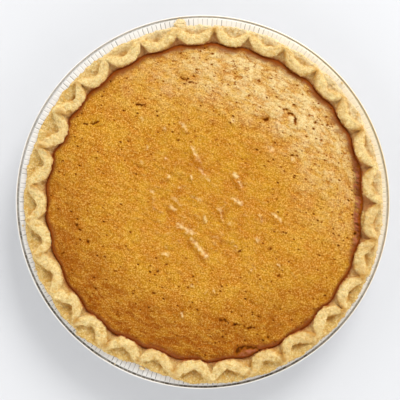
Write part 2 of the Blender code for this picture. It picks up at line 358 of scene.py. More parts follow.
class Rim:
    """The fluted rim at many turns at once, 0 to 1 each. Its notch is 0 at a nose and 1 at a notch."""

    def __init__(self, turns):
        flutes = draw_flutes()
        along = turns * FLUTES
        number = np.floor(along + 0.5).astype(int)
        t = along - number
        reach, skew, lift, notch_turn, notch_depth = flutes[number % FLUTES].T
        next_turn, next_depth = flutes[(number + 1) % FLUTES].T[3:]
        self.plain_angle = FLUTE_PHASE + turns * tau
        self.angle = FLUTE_PHASE + (along + mix(notch_turn, next_turn, t + 0.5)) * tau / FLUTES
        self.t = t + skew * (1 - 4 * t * t)
        self.notch = abs(2 * self.t)
        self.wave = 0.5 + 0.5 * np.cos(tau * t)
        self.reach = reach
        self.lift = lift * (1 - abs(2 * t))
        self.notch_depth = mix(notch_depth, next_depth, t + 0.5)
        self.dent = bump(self.angle, DENT_ANGLE, DENT_WIDTH)
        self.rope_dent = DENT_ROPE * self.dent

    def lip_fold(self):
        return drifted(LIP_RADIUS, LIP_DRIFT, self.angle) - DENT_LIP * self.dent

    def lip_edge(self):
        tab = TAB_REACH * bump(self.angle, TAB_ANGLE, TAB_WIDTH)
        return self.lip_fold() + LIP_WAVE * (self.wave - 0.5) + tab

    def rope_inside(self):
        nose = drifted(NOSE_RADIUS, NOSE_DRIFT, self.angle) - self.reach
        notch = drifted(NOTCH_RADIUS, NOTCH_DRIFT, self.angle) + self.notch_depth
        return mix(nose, notch, self.notch**NOSE_POWER) - self.rope_dent

    def rope_outside(self):
        nose = drifted(THUMB_RADIUS, THUMB_DRIFT, self.angle) - self.rope_dent - self.reach
        arms = np.hypot(self.t, THUMB_POINT) - THUMB_POINT
        longest = math.hypot(THUMB_HALF, THUMB_POINT) - THUMB_POINT
        return mix(nose, self.lip_fold() - THUMB_MARGIN, np.minimum(1, arms / longest))

    def filling_edge(self):
        edge = drifted(EDGE_RADIUS, NOSE_DRIFT, self.angle) + EDGE_WAVE * (1 - self.wave)
        drooped = np.maximum(0, self.reach - REACH_SPREAD) * (1 - self.notch**NOSE_POWER)
        return edge - self.rope_dent - drooped - SHRINK_DEPTH * bump(self.angle, SHRINK_ANGLE, SHRINK_WIDTH)


def wall_radius(height):
    share = (height - WALL_FOOT[1]) / (WALL_TOP[1] - WALL_FOOT[1])
    return mix(WALL_FOOT[0], WALL_TOP[0], share)


def across_wall(thickness):
    run = WALL_TOP[0] - WALL_FOOT[0]
    rise = WALL_TOP[1] - WALL_FOOT[1]
    return thickness * math.hypot(run, rise) / rise


def dome_height(radius, angle):
    slope = np.maximum(0, radius - CROWN_FLAT) / (DOME_RADIUS - CROWN_FLAT)
    x = radius * np.cos(angle)
    y = radius * np.sin(angle)
    along_x, along_y, aslant = SWELL_LENGTHS
    swell = np.sin(x / along_x + SWELL_PHASE) * np.sin(y / along_y) + np.sin((x - y) / aslant)
    return CROWN_HEIGHT - DOME_DROP * slope**DOME_POWER + SWELL * swell


# -------- mesh tools


def field(points, size, seed, octaves=2):
    """Fractal noise, about -1 to 1, at an array of points, with features of this size."""
    shift = Vector((seed * 17.3, seed * 9.7, seed * 5.1))
    scaled = points.reshape(-1, 3) / size
    values = [noise.fractal(Vector(point) + shift, 1.0, 2.0, octaves) for point in scaled.tolist()]
    return np.array(values).reshape(points.shape[:-1])


def turned(points, angle):
    """Points in a frame whose X axis runs at this angle."""
    x, y, z = np.moveaxis(points, -1, 0)
    along = x * cos(angle) + y * sin(angle)
    return np.stack([along, y * cos(angle) - x * sin(angle), z], axis=-1)


def stroke(points, path, width):
    """1 on a path of points in millimetres, falling away over this width (or widths) in millimetres."""
    place = points[:, :2] / MM
    nearest = np.full(len(place), np.inf)
    for start, end in zip(np.array(path, float), np.array(path[1:], float)):
        run = end - start
        share = np.clip((place - start) @ run / (run @ run), 0, 1)
        nearest = np.minimum(nearest, np.linalg.norm(place - start - share[:, None] * run, axis=1))
    return np.exp(-((nearest / width) ** 2))


def round_points(angle, radius, height):
    """Points of one ring, or of many rings by columns, from numbers and arrays that fit each other."""
    return np.stack(np.broadcast_arrays(radius * np.cos(angle), radius * np.sin(angle), height), axis=-1)


def grid_normals(points):
    """Outward normals of rows of closed rings that run out under the body, up round it and in over it."""
    along = np.roll(points, -1, axis=1) - np.roll(points, 1, axis=1)
    across = np.gradient(points, axis=0)
    normals = np.cross(along, across)
    return normals / np.maximum(np.linalg.norm(normals, axis=-1, keepdims=True), 1e-12)


def smooth_section(stations, steps):
    """Rows of points between the stations along a Catmull-Rom curve, steps to each stretch."""
    rows = []
    last = len(stations) - 1
    for index, count in enumerate(steps):
        before, start, end, after = (stations[min(max(index + k, 0), last)] for k in (-1, 0, 1, 2))
        for step in range(count):
            u = step / count
            bend = (2 * before - 5 * start + 4 * end - after) * u**2
            twist = (3 * start - 3 * end + after - before) * u**3
            rows.append(0.5 * (2 * start + (end - before) * u + bend + twist))
    rows.append(stations[-1])
    return np.array(rows)


def bridge_faces(first, second):
    """Faces between two closed rings of vertex numbers, where one count divides the other."""
    steps = max(len(first), len(second)) // min(len(first), len(second))
    if steps == 1:
        ahead_first = np.roll(first, -1)
        ahead_second = np.roll(second, -1)
        return np.stack([first, ahead_first, ahead_second, second], axis=1).tolist()
    few, many = (second, first) if len(first) > len(second) else (first, second)
    faces = []
    middle = (steps + 1) // 2
    for index, corner in enumerate(few):
        following = few[(index + 1) % len(few)]
        run = [many[(index * steps + step) % len(many)] for step in range(steps + 1)]
        fans = [(corner, run[step + 1], run[step]) for step in range(middle)]
        fans.append((corner, following, run[middle]))
        fans += [(following, run[step + 1], run[step]) for step in range(middle, steps)]
        faces += fans if few is first else [fan[::-1] for fan in fans]
    return faces


def in_scene(name, content):
    """A new object in the scene with this mesh, lamp or camera."""
    holder = bpy.data.objects.new(name, content)
    bpy.context.scene.collection.objects.link(holder)
    return holder


def mesh_from(bm, name, material):
    """A mesh made from a bmesh, which is then freed."""
    mesh = bpy.data.meshes.new(name)
    bm.to_mesh(mesh)
    bm.free()
    mesh.materials.append(material)
    return mesh


def round_body(name, rings, values, material):
    """A closed body from rings of points, with named values at its points. Both ends close on the axis."""
    ends = np.cumsum([len(ring) for ring in rings])
    loops = np.split(np.arange(ends[-1]), ends[:-1])
    middles = [(0, 0, float(np.mean(ring[:, 2]))) for ring in (rings[0], rings[-1])]
    points = np.concatenate([*rings, np.array(middles)])
    faces = []
    for first, second in zip(loops, loops[1:]):
        faces += bridge_faces(first, second)
    under, over = len(points) - 2, len(points) - 1
    faces += [(int(b), int(a), under) for a, b in zip(loops[0], np.roll(loops[0], -1))]
    faces += [(int(a), int(b), over) for a, b in zip(loops[-1], np.roll(loops[-1], -1))]
    mesh = bpy.data.meshes.new(name)
    mesh.from_pydata(points.tolist(), [], faces)
    mesh.shade_smooth()
    for key, parts in values.items():
        layer = mesh.attributes.new(key, "FLOAT", "POINT")
        at_middles = [float(np.mean(part)) for part in (parts[0], parts[-1])]
        layer.data.foreach_set("value", np.concatenate([*parts, at_middles]).astype(np.float32))
    mesh.materials.append(material)
    return in_scene(name, mesh)


# -------- materials

FOIL_BRIGHT = (0.93, 0.93, 0.93)
FOIL_TARNISHED = (0.86, 0.86, 0.87)
FOIL_BUTTERED = (0.9, 0.74, 0.45)
# Painted shade for the groove and the rib creases.
FOIL_PAINTED_SHADE = (0.075, 0.055, 0.03)

DOUGH_DEEP = (0.66, 0.385, 0.075)
DOUGH_LIGHT = (0.79, 0.52, 0.145)
# Painted highlight on the rope's tops.
DOUGH_CREST_HIGHLIGHT = (0.89, 0.65, 0.26)
# Painted light on the lip on the lamp's side.
DOUGH_LAMP_SIDE_LIGHT = (0.92, 0.75, 0.43)
DOUGH_SPECKLE = (0.95, 0.76, 0.37)
DOUGH_FLECK = (0.7, 0.4, 0.09)
DOUGH_TOASTED = (0.68, 0.36, 0.05)
# Brown, with painted shade in the thumb dents, on the rope's inner side and in the creases.
DOUGH_BROWN_AND_SHADE = (0.56, 0.26, 0.032)
# Stain in the recesses, partly painted shade.
DOUGH_STAIN_AND_SHADE = (0.42, 0.15, 0.036)
DOUGH_SEAM = (0.4, 0.088, 0.008)

CUSTARD_DEEP = (0.585, 0.2, 0.006)
CUSTARD_LIGHT = (0.655, 0.298, 0.012)
CUSTARD_GRAIN = (0.93, 0.58, 0.14)
CUSTARD_SHADE = (0.31, 0.08, 0)
# Painted sheen on the lamp side.
CUSTARD_SHEEN = (0.9, 0.7, 0.33)
# Painted shade on the side away from the lamp.
CUSTARD_FAR_SIDE_SHADE = (0.32, 0.064, 0)
# Painted highlight on the streaks' lit sides and in glint specks.
CUSTARD_PAINTED_HIGHLIGHT = (0.95, 0.68, 0.27)
# Brown rim, with the rope's painted shadow on the lamp side.
CUSTARD_RIM_AND_SHADE = (0.29, 0.072, 0.014)
CUSTARD_BLUSH = (0.5, 0.16, 0.075)
# Char at the edge, with the rope's painted shadow on the lamp side.
CUSTARD_CHAR_AND_SHADE = (0.32, 0.064, 0.003)
# Painted shade beside and in the hollows.
CUSTARD_HOLLOW_EDGE_SHADE = (0.42, 0.115, 0.002)
CUSTARD_HOLLOW_SHADE = (0.14, 0.03, 0.001)

CRUMB_DARK = (0.62, 0.4, 0.14)
CRUMB_LIGHT = (0.9, 0.74, 0.42)

FLOOR_GREY = (0.71, 0.71, 0.715)
FLOOR_PALE = (0.74, 0.74, 0.745)
FLOOR_CLOUD = 0.12


class Shader:
    """A material's node tree, with short ways to add the nodes used here."""

    def __init__(self, name):
        self.material = bpy.data.materials.new(name)
        self.material.use_nodes = True
        self.tree = self.material.node_tree
        self.surface = self.tree.nodes["Principled BSDF"]
        coordinates = self.tree.nodes.new("ShaderNodeTexCoord")
        self.place = coordinates.outputs["Object"]

    def fill(self, socket, value):
        """Give a socket a number, a colour, another node's output, or the attribute of this name."""
        if isinstance(value, str):
            value = self.attribute(value)
        if isinstance(value, bpy.types.NodeSocket):
            self.tree.links.new(value, socket)
        elif socket.type == "RGBA":
            socket.default_value = (*value, 1)
        else:
            socket.default_value = value

    def fill_all(self, node, values):
        for name, value in values.items():
            self.fill(node.inputs[name.replace("_", " ")], value)

    def finished(self, **values):
        self.fill_all(self.surface, values)
        return self.material

    def node(self, kind, **values):
        added = self.tree.nodes.new("ShaderNode" + kind)
        self.fill_all(added, values)
        return added

    def attribute(self, name):
        added = self.node("Attribute")
        added.attribute_name = name
        return added.outputs["Fac"]

    def pattern(self, kind, size, turn=0.0, lengths=(1, 1, 1), shift=0.0, **settings):
        """A pattern of this size, lengthened along X, Y and Z, then turned about Z and shifted."""
        mapping = self.node("Mapping", Vector=self.place, Rotation=(0, 0, turn), Scale=lengths)
        mapping.inputs["Location"].default_value = [shift] * 3
        mapping.vector_type = "TEXTURE"
        return self.node(kind, Vector=mapping.outputs["Vector"], Scale=1 / size, **settings)

    def noise(self, size, detail=3.0, roughness=0.55, **laid):
        return self.pattern("TexNoise", size, Detail=detail, Roughness=roughness, **laid).outputs["Fac"]

    def spots(self, size, **laid):
        """Distance from the nearest of many scattered points, in cells."""
        return self.pattern("TexVoronoi", size, **laid).outputs["Distance"]

    def spread(self, value, low, high, to_low=0.0, to_high=1.0):
        """The value moved from its own low and high to new ones, and held between them."""
        ends = {"From_Min": low, "From_Max": high, "To_Min": to_low, "To_Max": to_high}
        return self.node("MapRange", Value=value, **ends).outputs["Result"]

    def maths(self, operation, first, second=0.0):
        added = self.node("Math")
        added.operation = operation
        self.fill(added.inputs[0], first)
        self.fill(added.inputs[1], second)
        return added.outputs["Value"]

    def times(self, first, second):
        return self.maths("MULTIPLY", first, second)

    def blend(self, share, first, second):
        """The first colour, with this share of the second over it."""
        added = self.node("Mix")
        added.data_type = "RGBA"
        self.fill_all(added, {"Factor": share, "A": first, "B": second})
        return next(output for output in added.outputs if output.type == "RGBA")

    def layered(self, colour, *layers):
        """The colour, with a share of each layer's colour over it in turn."""
        for share, layer in layers:
            colour = self.blend(share, colour, layer)
        return colour

    def relief(self, height, depth, **under):
        """Normals bent by a height of this depth, over the relief given as Normal."""
        return self.node("Bump", Height=height, Distance=depth, **under).outputs["Normal"]


def foil_material():
    """Bright foil, dulled by its crinkles, with painted shade in the groove inside the bead and along the rib
    creases.
    """
    shader = Shader("foil_crinkled")
    bright = shader.blend(shader.noise(9 * MM, detail=2), FOIL_BRIGHT, FOIL_TARNISHED)
    return shader.finished(
        Base_Color=shader.layered(bright, ("butter", FOIL_BUTTERED), ("groove", FOIL_PAINTED_SHADE)),
        Metallic=shader.spread("dull", 0, 1, 0.85, 0.25),
        Roughness=shader.spread(shader.noise(4 * MM), 0.3, 0.7, 0.38, 0.56),
        Normal=shader.relief(shader.noise(2.2 * MM, detail=4), 0.12 * MM),
    )


def pastry_colour(shader, grain):
    """Dough with a painted highlight on its crests and painted light on its lamp side, flecked, toasted in
    patches, brown and stained where its values say so, with painted shade in the brown and the stain.
    """
    patches = shader.spread(shader.noise(7 * MM), 0.35, 0.65)
    toast = shader.spread(shader.noise(3.6 * MM, detail=5, roughness=0.65, shift=3.0), 0.52, 0.66)
    return shader.layered(
        shader.blend(patches, DOUGH_DEEP, DOUGH_LIGHT),
        ("crest_highlight", DOUGH_CREST_HIGHLIGHT),
        ("lamp_side_light", DOUGH_LAMP_SIDE_LIGHT),
        (shader.spread(grain, 0.46, 0.64), DOUGH_SPECKLE),
        (shader.spread(grain, 0.47, 0.36, 0.0, 0.6), DOUGH_FLECK),
        (shader.times(toast, 0.75), DOUGH_TOASTED),
        ("brown_and_shade", DOUGH_BROWN_AND_SHADE),
        ("stain_and_shade", DOUGH_STAIN_AND_SHADE),
        ("seam", DOUGH_SEAM),
    )


def pastry_material():
    """Pale baked dough, dull and craggy."""
    shader = Shader("pastry_baked")
    grain = shader.noise(1.0 * MM, detail=4, roughness=0.7)
    crags = shader.relief(shader.noise(2.6 * MM, shift=5.0), 1.6 * MM)
    fine = shader.noise(0.8 * MM, roughness=0.65)
    return shader.finished(
        Base_Color=pastry_colour(shader, grain),
        Roughness=shader.spread(grain, 0.3, 0.7, 0.45, 0.70),
        Specular_IOR_Level=0.25,
        Subsurface_Weight=0.1,
        Subsurface_Radius=(1.0, 0.55, 0.2),
        Subsurface_Scale=1.0 * MM,
        Normal=shader.relief(fine, 0.9 * MM, Normal=crags),
    )


def filling_specks(shader):
    """Small scattered pits, longer across the light's direction, fewer in the middle and smaller under the
    painted sheen on the lamp side.
    """
    outside_middle = shader.spread("cracked", 0.0, 0.35, 0.4, 1.0)
    largest = shader.times(outside_middle, shader.spread("lit_sheen", 0.0, 1.0, 1.0, 0.75))
    sizes = shader.times(shader.spread(shader.noise(3.5 * MM, shift=9.0), 0.46, 0.61), largest)
    scattered = shader.spots(2.7 * MM, turn=LIGHT_ANGLE, lengths=(1, 1.7, 1))
    return shader.times(shader.spread(scattered, 0.28, 0.12), sizes)


def filling_hollows(shader, specks):
    """1 in the pits, specks, crevices and hair cracks, 0 elsewhere, where painted shade darkens the filling.
    """
    veins = shader.noise(5 * MM, shift=11.0, turn=LIGHT_ANGLE, lengths=(1, 2.6, 1))
    beside_vein = shader.maths("ABSOLUTE", shader.maths("SUBTRACT", veins, 0.5))
    broken = shader.spread(shader.noise(4 * MM, detail=1, shift=13.0), 0.53, 0.60)
    cracks = shader.times(shader.spread(beside_vein, 0.0, 0.024, 1.0, 0.0), broken)
    hollow = shader.maths("MAXIMUM", "pits", specks)
    for layer in (shader.times("crevice_shade", 0.3), shader.times(cracks, "cracked")):
        hollow = shader.maths("MAXIMUM", hollow, layer)
    return hollow


def filling_colour(shader, grain, hollow):
    """Grainy orange, with a painted sheen on the lamp side, painted highlights, painted shade away from the
    lamp and in its hollows, and a brown rim that carries the rope's painted shadow.
    """
    patches = shader.spread(shader.noise(9 * MM, detail=4), 0.36, 0.62)
    curds = shader.noise(2.2 * MM, detail=5, roughness=0.68, shift=7.0, turn=LIGHT_ANGLE, lengths=(1, 1.6, 1))
    grainy = shader.spread("wet", 0.0, 1.0, 1.0, 0.5)
    sheen = shader.times("lit_sheen", shader.spread(curds, 0.40, 0.56, 0.45, 1.0))
    return shader.layered(
        shader.blend(patches, CUSTARD_DEEP, CUSTARD_LIGHT),
        (shader.times(shader.spread(grain, 0.49, 0.66, 0.0, 0.85), grainy), CUSTARD_GRAIN),
        (shader.times(shader.spread(grain, 0.46, 0.34, 0.0, 0.75), grainy), CUSTARD_SHADE),
        (shader.times(sheen, shader.spread(grain, 0.38, 0.60, 0.62, 1.08)), CUSTARD_SHEEN),
        (shader.times("far_side_shade", shader.spread(grain, 0.36, 0.64, 1.30, 0.70)), CUSTARD_FAR_SIDE_SHADE),
        ("painted_highlight", CUSTARD_PAINTED_HIGHLIGHT),
        ("rim", CUSTARD_RIM_AND_SHADE),
        ("blush", CUSTARD_BLUSH),
        ("char_and_shade", CUSTARD_CHAR_AND_SHADE),
        (shader.spread(hollow, 0.0, 0.5), CUSTARD_HOLLOW_EDGE_SHADE),
        (shader.spread(hollow, 0.35, 0.9), CUSTARD_HOLLOW_SHADE),
    )


def filling_material():
    """Baked custard: curdled and full of small holes, smoother where it stayed wet, glossy on its streaks."""
    shader = Shader("filling_baked")
    grain = shader.noise(0.95 * MM, roughness=0.7)
    specks = filling_specks(shader)
    hollow = filling_hollows(shader, specks)
    rough = shader.spread(grain, 0.3, 0.7, 0.28, 0.40)
    smoother = shader.maths("SUBTRACT", rough, shader.times("wet", 0.12))
    holes = shader.relief(shader.maths("SUBTRACT", 1.0, specks), 0.5 * MM)
    curdled = shader.relief(shader.noise(2.2 * MM, shift=15.0), 0.9 * MM, Normal=holes)
    fine = shader.noise(0.9 * MM, roughness=0.7)
    return shader.finished(
        Base_Color=filling_colour(shader, grain, hollow),
        Roughness=shader.maths("ADD", smoother, shader.times(hollow, 0.4)),
        Specular_IOR_Level=0.05,
        Coat_Weight=shader.times("gloss", shader.spread(hollow, 0.0, 0.5, 1.0, 0.0)),
        Coat_Roughness=0.15,
        Subsurface_Weight=0.05,
        Subsurface_Radius=(1.0, 0.35, 0.1),
        Subsurface_Scale=1.2 * MM,
        Normal=shader.relief(fine, 1.15 * MM, Normal=curdled),
        Coat_Normal=shader.relief(shader.noise(1.6 * MM, detail=2, shift=17.0), 0.8 * MM),
    )


def crumb_material():
    shader = Shader("dough_crumbs")
    grain = shader.noise(0.8 * MM, detail=4)
    return shader.finished(
        Base_Color=shader.blend(shader.spread(grain, 0.35, 0.65), CRUMB_DARK, CRUMB_LIGHT),
        Roughness=shader.spread(grain, 0.3, 0.7, 0.5, 0.8),
        Normal=shader.relief(grain, 0.5 * MM),
    )


def floor_material():
    shader = Shader("pale_floor")
    return shader.finished(
        Base_Color=shader.blend(shader.noise(FLOOR_CLOUD, detail=2), FLOOR_GREY, FLOOR_PALE),
        Roughness=0.5,
    )


# -------- the pan


def pan_ring(radius, height, ribbed=0.0, painted_shade=0.0, dull=0.0):
    """One ring of the pan: where it is, its share of the ribs' depth, its painted shade and how dull it is.
    """
    return radius, height, ribbed, painted_shade, dull


def wall_rings(offset, drop, ribbed, steps):
    """The wall's rings from foot to top, with ribs that deepen on the way up."""
    rings = []
    for step in range(steps + 1):
        share = step / steps
        radius = mix(WALL_FOOT[0], WALL_TOP[0], share) + offset
        height = mix(WALL_FOOT[1], WALL_TOP[1], share) - drop * share
        rings.append(pan_ring(radius, height, ribbed * share))
    return rings


def pan_rings():
    """Out under the floor, up the outside, over the rolled rim, then in over the flange, wall and floor."""
    bead_middle = PAN_RADIUS - BEAD_RADIUS
    rings = [pan_ring(FLOOR_RADIUS * share, 0.0) for share in FLOOR_SHARES]
    rings += wall_rings(across_wall(FOIL), FOIL, WALL_RIBBED, steps=12)
    for share in (0.1, 0.4, 0.7, 1.0):
        rings.append(pan_ring(mix(FLANGE_START, FLANGE_END, share), FLANGE_HEIGHT - FOIL, ribbed=1.0))
    for degrees in BEAD_SWEEP:
        along = radians(degrees)
        radius = bead_middle + BEAD_RADIUS * cos(along)
        height = FLANGE_HEIGHT + BEAD_RADIUS * sin(along)
        rings.append(pan_ring(radius, height, BEAD_RIBBED, dull=BEAD_DULL))
    for out, up, painted_shade in GROOVE:
        rings.append(pan_ring(bead_middle + out * MM, FLANGE_HEIGHT + up * MM, BEAD_RIBBED, painted_shade, BEAD_DULL))
    for share in (0.0, 0.2, 0.5, 0.8, 1.0):
        rings.append(pan_ring(mix(FLANGE_END, FLANGE_START, share), FLANGE_HEIGHT, ribbed=1.0, dull=1.0))
    rings += wall_rings(0.0, 0.0, 0.0, steps=2)[::-1]
    rings += [pan_ring(FLOOR_RADIUS * share, FOIL) for share in FLOOR_SHARES[::-1]]
    return rings


def make_pan():
    """The pan, pressed from thin foil: ribs that deepen up the wall and over the flange, and a rolled rim."""
    columns = (np.arange(RIBS)[:, None] + np.array(RIB_COLUMNS)).ravel()
    plain_angle = columns * tau / RIBS
    rim_points = round_points(plain_angle, PAN_RADIUS, 0.0)
    waver = field(rim_points, WAVER_SIZE, octaves=3, seed=3)
    uneven = field(rim_points, CREASE_SPACING, octaves=1, seed=4)
    angle = plain_angle + RIB_WAVER * waver * tau / RIBS
    from_crease = (columns + 0.5) % 1 - 0.5
    crease = np.exp(-((from_crease / CREASE_WIDTH) ** 2)) * np.clip(0.8 + 1.1 * uneven, 0.1, 1.2)
    rib = 0.5 - CREASE_DEPTH * crease + 0.15 * uneven

    radius, height, ribbed, painted_shade, dull = (column[:, None] for column in np.array(pan_rings()).T)
    points = round_points(angle[None, :], radius, height + RIB_DEPTH * rib * ribbed)
    # Painted shade in the groove, darkest on the side away from the lamp, and along the rib creases, weaker
    # where the foil is buttered.
    shade_by_side = mix(0.40, 1.05, ramp(np.cos(angle - SHADED_SIDE_ANGLE), -0.3, 0.9))
    shade_by_side = shade_by_side * (0.85 + 0.3 * uneven) * (1 - 0.5 * np.clip(crease, 0, 1))
    buttery = bump(angle, BUTTER_ANGLE, BUTTER_WIDTH)
    shaded = crease * (1 - 0.75 * buttery)
    values = {
        "groove": np.clip(np.maximum(painted_shade * shade_by_side, 0.8 * shaded * ribbed), 0, 1),
        "dull": dull * np.ones_like(angle),
        "butter": np.minimum(1, dull / BEAD_DULL) * (0.2 + 0.6 * buttery),
    }
    return round_body("pan_foil", points, values, foil_material())


# -------- the crust


def crust_stations(rim):
    """The crust's section as in the CAD: hidden stations, the shown ones over lip and rope, hidden ones."""
    on_flange = FLANGE_HEIGHT + RIB_DEPTH + GAP
    under = FOIL + GAP
    edge = rim.lip_edge()
    inside = rim.rope_inside()
    outside = rim.rope_outside()
    shell_wall = wall_radius(SHELL_LEDGE) - across_wall(GAP + SHELL)
    shell_foot = WALL_FOOT[0] - across_wall(SHELL)

    def hidden(radius, height):
        return round_points(rim.plain_angle, radius, height)

    def station(radius, height):
        return round_points(rim.angle, radius, height)

    def rope(share, out, height):
        radius = mix(inside, outside, share) + mix(*out, rim.notch) * MM
        return station(radius, mix(*height, rim.notch) * MM + rim.lift)

    lead = [
        hidden(FLOOR_RADIUS * 0.5, under),
        hidden(FLOOR_RADIUS - GAP, under),
        hidden(WALL_FOOT[0] - across_wall(GAP), WALL_FOOT[1]),
        hidden(WALL_TOP[0] - across_wall(GAP), WALL_TOP[1]),
        hidden(FLANGE_START, on_flange),
    ]
    shown = [
        station(edge - 0.8 * MM, on_flange),
        station(edge, on_flange + 1.2 * MM),
        station(edge - 0.9 * MM, mix(32.7, 33.9, rim.notch) * MM),
        *(rope(*row) for row in ROPE),
        station(rim.filling_edge() + SEAM, EDGE_HEIGHT - mix(0.3, 1.2, rim.notch) * MM),
    ]
    tail = [
        hidden(shell_wall, SHELL_LEDGE),
        hidden(shell_foot + 2 * MM, under + SHELL + 2 * MM),
        hidden(shell_foot - 1 * MM, under + SHELL),
        hidden(FLOOR_RADIUS * 0.5, under + SHELL),
    ]
    return lead, np.array(shown), tail


def along_stretch(marks, start, full, fading, end):
    """1 on a stretch of the crust's section, fading out to 0 at both of its ends."""
    return ramp(marks, start, full) * ramp(marks, end, fading)


def roughened(points, marks):
    """The crust's points pushed out into lumps, flakes and folds, with the creases and crags among them."""
    lumps = field(points, LUMP_SIZE, seed=11)
    creases = -abs(field(points, VALLEY_SIZE, seed=12))
    flakes = np.round(FLAKE_STEPS * field(points, FLAKE_SIZE, seed=13)) / FLAKE_STEPS
    crags = field(points, CRAG_SIZE, octaves=3, seed=15)
    radii = np.hypot(points[..., 0], points[..., 1])
    # Folds run outwards, because distances outwards count for less here than those round the rim.
    spaced = FOLD_LENGTHENING * radii / THUMB_RADIUS
    round_place = np.stack([points[..., 0] / radii, points[..., 1] / radii, spaced], axis=-1)
    folds = field(round_place * THUMB_RADIUS, FOLD_SIZE, seed=16)
    push = LUMP_RISE * lumps + VALLEY_FALL * creases + FLAKE_RISE * flakes + CRAG_RISE * crags
    push = (push + FOLD_RISE * folds + CRUST_PUFF) * along_stretch(marks, *FREE_STRETCH)
    return points + grid_normals(points) * push[..., None], creases, crags


def crust_values(rim, points, marks, creases, crags):
    """How brown, stained and seamed the crust is at its shown points, with painted shade in the brown and the
    stain, a painted highlight on its tops and painted light on its lamp side.
    """
    # Brown at the pinches and on the toasted side is the dough's own; in the thumb dents, on the rope's inner
    # side and in the creases it is painted shade.
    pinch = ramp(rim.notch, 0.72, 1.0) * along_stretch(marks, *PINCH_STRETCH)
    thumb = (1 - rim.notch) * along_stretch(marks, *THUMB_STRETCH)
    inner = along_stretch(marks, *INNER_STRETCH)
    toasted = np.maximum(0, np.cos(rim.angle - TOAST_ANGLE))
    tone = np.clip(0.5 + 1.3 * field(points, TONE_SIZE, seed=14), 0, 1)
    valley_shade = np.clip(-creases - 0.55, 0, 0.5)
    brown_and_shade = 0.8 * pinch + 0.95 * thumb + 0.5 * inner + 0.12 + 0.25 * toasted
    # Painted highlight on the rope's tops and crags, and painted light on the lip on the lamp's side.
    crest_highlight = ramp(points[..., 2], *HIGHLIGHT_HEIGHTS) + 0.25 * crags
    lamp_side = ramp(np.cos(rim.angle - LAMP_SIDE_ANGLE), 0.0, 0.9)

    radii = np.hypot(points[..., 0], points[..., 1])
    to_filling = radii - (rim.filling_edge() + SEAM) + SEAM_RAGGED * crags
    on_wall = ramp(marks, *WALL_STRETCH)
    # The recesses' stain: near the filling and at the right it is the filling's own; the rest, most at the
    # top, is painted shade.
    stain_shade_share = 0.25 + sum(amount * bump(rim.angle, turn, width) for turn, width, amount in STAIN_SIDES)
    stain_shade_share = np.maximum(stain_shade_share, 0.8 * ramp(to_filling, *STAIN_REACH))
    return {
        "brown_and_shade": np.clip(brown_and_shade * tone + valley_shade, 0, 0.85),
        "stain_and_shade": on_wall * ramp(rim.notch, 0.4, 0.7) * stain_shade_share,
        "seam": on_wall * ramp(to_filling, *SEAM_REACH),
        "crest_highlight": np.clip(crest_highlight, 0, 1),
        "lamp_side_light": lamp_side * ramp(marks, *LIP_STRETCH),
    }


def make_crust():
    """The pastry: a smooth section through the CAD's own stations, roughened into crags and flakes."""
    rim = Rim(np.arange(CRUST_COLUMNS) / CRUST_COLUMNS)
    lead, shown, tail = crust_stations(rim)
    marks = smooth_section(np.arange(len(shown), dtype=float)[:, None], CRUST_STEPS)
    points, creases, crags = roughened(smooth_section(shown, CRUST_STEPS), marks)

    hidden_rings = ((len(lead), len(tail)), (0, 0))
    values = {}
    for key, rows in crust_values(rim, points, marks, creases, crags).items():
        inside = float(key == "seam")
        values[key] = np.pad(rows, hidden_rings, constant_values=((0, inside), (0, 0)))
    return round_body("crust_pastry", [*lead, *points, *tail], values, pastry_material())


# -------- the filling


def streak_strokes():
    """Path, width and share of the rise of each raised streak, then of the small scattered bumps."""
    strokes = [(((x, y), (x + dx, y + dy)), width, height) for x, y, dx, dy, width, height in STREAKS]
    draws = random.Random(SEED)
    for _ in range(BUMPS):
        away = BUMP_FIELD * math.sqrt(draws.random())
        turn = draws.uniform(0, tau)
        length = draws.uniform(0.1, 3.0)
        lean = radians(draws.uniform(-80, -20))
        x = away * cos(turn) + BUMP_MIDDLE[0]
        y = away * sin(turn) + BUMP_MIDDLE[1]
        path = ((x, y), (x + length * cos(lean), y + length * sin(lean)))
        strokes.append((path, draws.uniform(0.5, 1.0), draws.uniform(0.2, 0.7)))
    return strokes


def raised(points, strokes):
    return sum(height * stroke(points, path, width) for path, width, height in strokes)


def hidden_filling_rings(rim):
    """Out under the filling, up the shell's inside and out to the filling's edge."""
    shell_wall = wall_radius(SHELL_LEDGE) - across_wall(GAP + SHELL) - across_wall(GAP)
    foot = WALL_FOOT[0] - across_wall(SHELL + GAP)
    base = FOIL + GAP + SHELL + GAP
    under = [(FLOOR_RADIUS * 0.5, base), (foot - 1 * MM, base), (foot + 2 * MM, base + 2 * MM)]
    rings = [round_points(rim.plain_angle, *place) for place in (*under, (shell_wall, SHELL_LEDGE))]
    return [*rings, round_points(rim.angle, rim.filling_edge(), EDGE_HEIGHT - 0.6 * MM)]


def shown_filling_rings(rim):
    """In over the filling: the rings turn round towards the middle, and have fewer points as they shrink."""
    edge = rim.filling_edge()
    rings = []
    radius = EDGE_RADIUS
    while radius > 3 * FILLING_STEP:
        share = radius / EDGE_RADIUS
        step = 2 ** max(0, int(math.log2(1.05 / share)))
        follow = share**FOLLOW_POWER
        angle = mix(rim.plain_angle, rim.angle, follow)[::step]
        out = share * mix(EDGE_RADIUS, edge, follow)[::step]
        roll = 1 - np.clip((edge[::step] - out) / EDGE_ROLL_WIDTH, 0, 1)
        height = dome_height(out, angle) - EDGE_ROLL * (1 - np.sqrt(1 - 0.98 * roll**2))
        rings.append(round_points(angle, out, height))
        radius -= FILLING_STEP
    return rings


